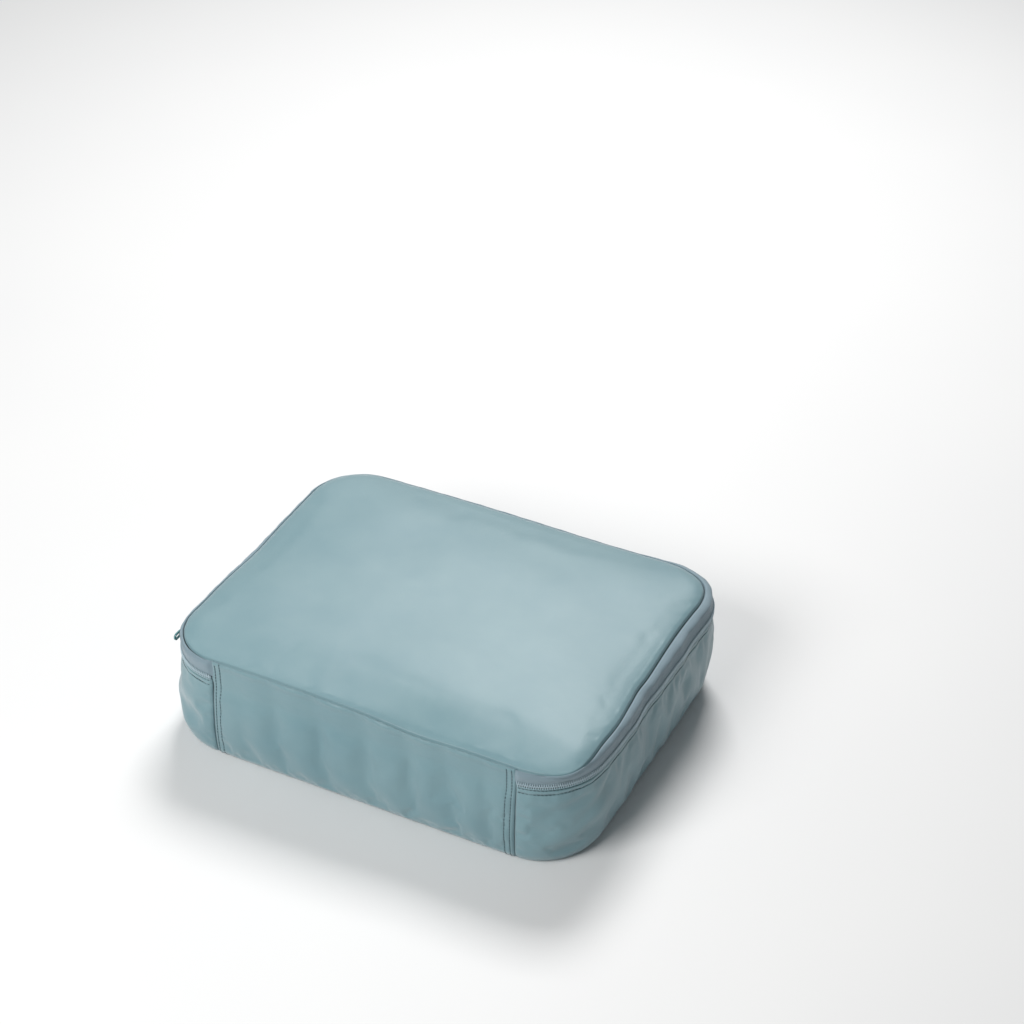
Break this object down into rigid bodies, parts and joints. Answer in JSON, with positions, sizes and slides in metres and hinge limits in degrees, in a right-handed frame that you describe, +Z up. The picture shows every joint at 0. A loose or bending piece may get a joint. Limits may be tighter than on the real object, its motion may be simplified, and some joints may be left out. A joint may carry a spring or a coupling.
{
  "type": "packing cube",
  "caption": "Soft rectangular zip bag for folded clothes, packed full, with a hinged lid and a zip round three sides.",
  "frame": {"origin": "centre of the underside, on the surface the bag stands on", "axes": "+X along the hinged side, -Y towards the hinge panel, +Y towards the opening side, +Z up"},
  "size_m": [0.4255, 0.331, 0.1212],
  "materials": {
    "shell_fabric": "fine weave with a soft sheen",
    "zip_tape": "ribbed, matte",
    "zip_coil": "satin nylon",
    "thread": "matte",
    "slider_paint": "gloss",
    "lock_pin": "bright"
  },
  "bodies": {
    "base": {"bottom_panel": "shell_fabric", "side_wall": "shell_fabric", "hinge_panel": "shell_fabric", "lower_zip_tape": "zip_tape", "lower_coil": "zip_coil", "bottom_binding": "zip_tape", "left_seam_binding": "zip_tape", "right_seam_binding": "zip_tape", "hem_stitches_upper": "thread", "hem_stitches_lower": "thread", "left_seam_stitches": "thread", "right_seam_stitches": "thread"},
    "lid": {"top_panel": "shell_fabric", "hinge_strip": "shell_fabric", "upper_zip_tape": "zip_tape", "upper_coil": "zip_coil", "lid_binding": "zip_tape", "strip_stitches": "thread"},
    "near_slider": {"near_slider_body": "slider_paint", "near_slider_crown": "slider_paint", "near_lock_pin": "lock_pin"},
    "near_pull": {"near_pull": "slider_paint"},
    "far_slider": {"far_slider_body": "slider_paint", "far_slider_crown": "slider_paint", "far_lock_pin": "lock_pin"},
    "far_pull": {"far_pull": "slider_paint"}
  },
  "joints": [
    {"name": "lid_open", "type": "hinge", "parent": "base", "child": "lid", "pos_m": [0, -0.166, 0.091], "axis": [1, 0, 0], "range_deg": [0, 180]},
    {"name": "near_slider_travel", "type": "hinge", "parent": "base", "child": "near_slider", "pos_m": [-0.154, -0.109, 0.091], "axis": [0, 0, 1], "range_deg": [0, 60]},
    {"name": "far_slider_travel", "type": "slide", "parent": "base", "child": "far_slider", "axis": [0, 1, 0], "range_m": [0, 0.2]},
    {"name": "near_pull_swing", "type": "hinge", "parent": "near_slider", "child": "near_pull", "pos_m": [-0.21295, -0.109, 0.091], "axis": [0, 0, -1], "range_deg": [0, 150]},
    {"name": "far_pull_swing", "type": "hinge", "parent": "far_slider", "child": "far_pull", "pos_m": [-0.21295, -0.097, 0.091], "axis": [0, 0, 1], "range_deg": [0, 150]}
  ]
}
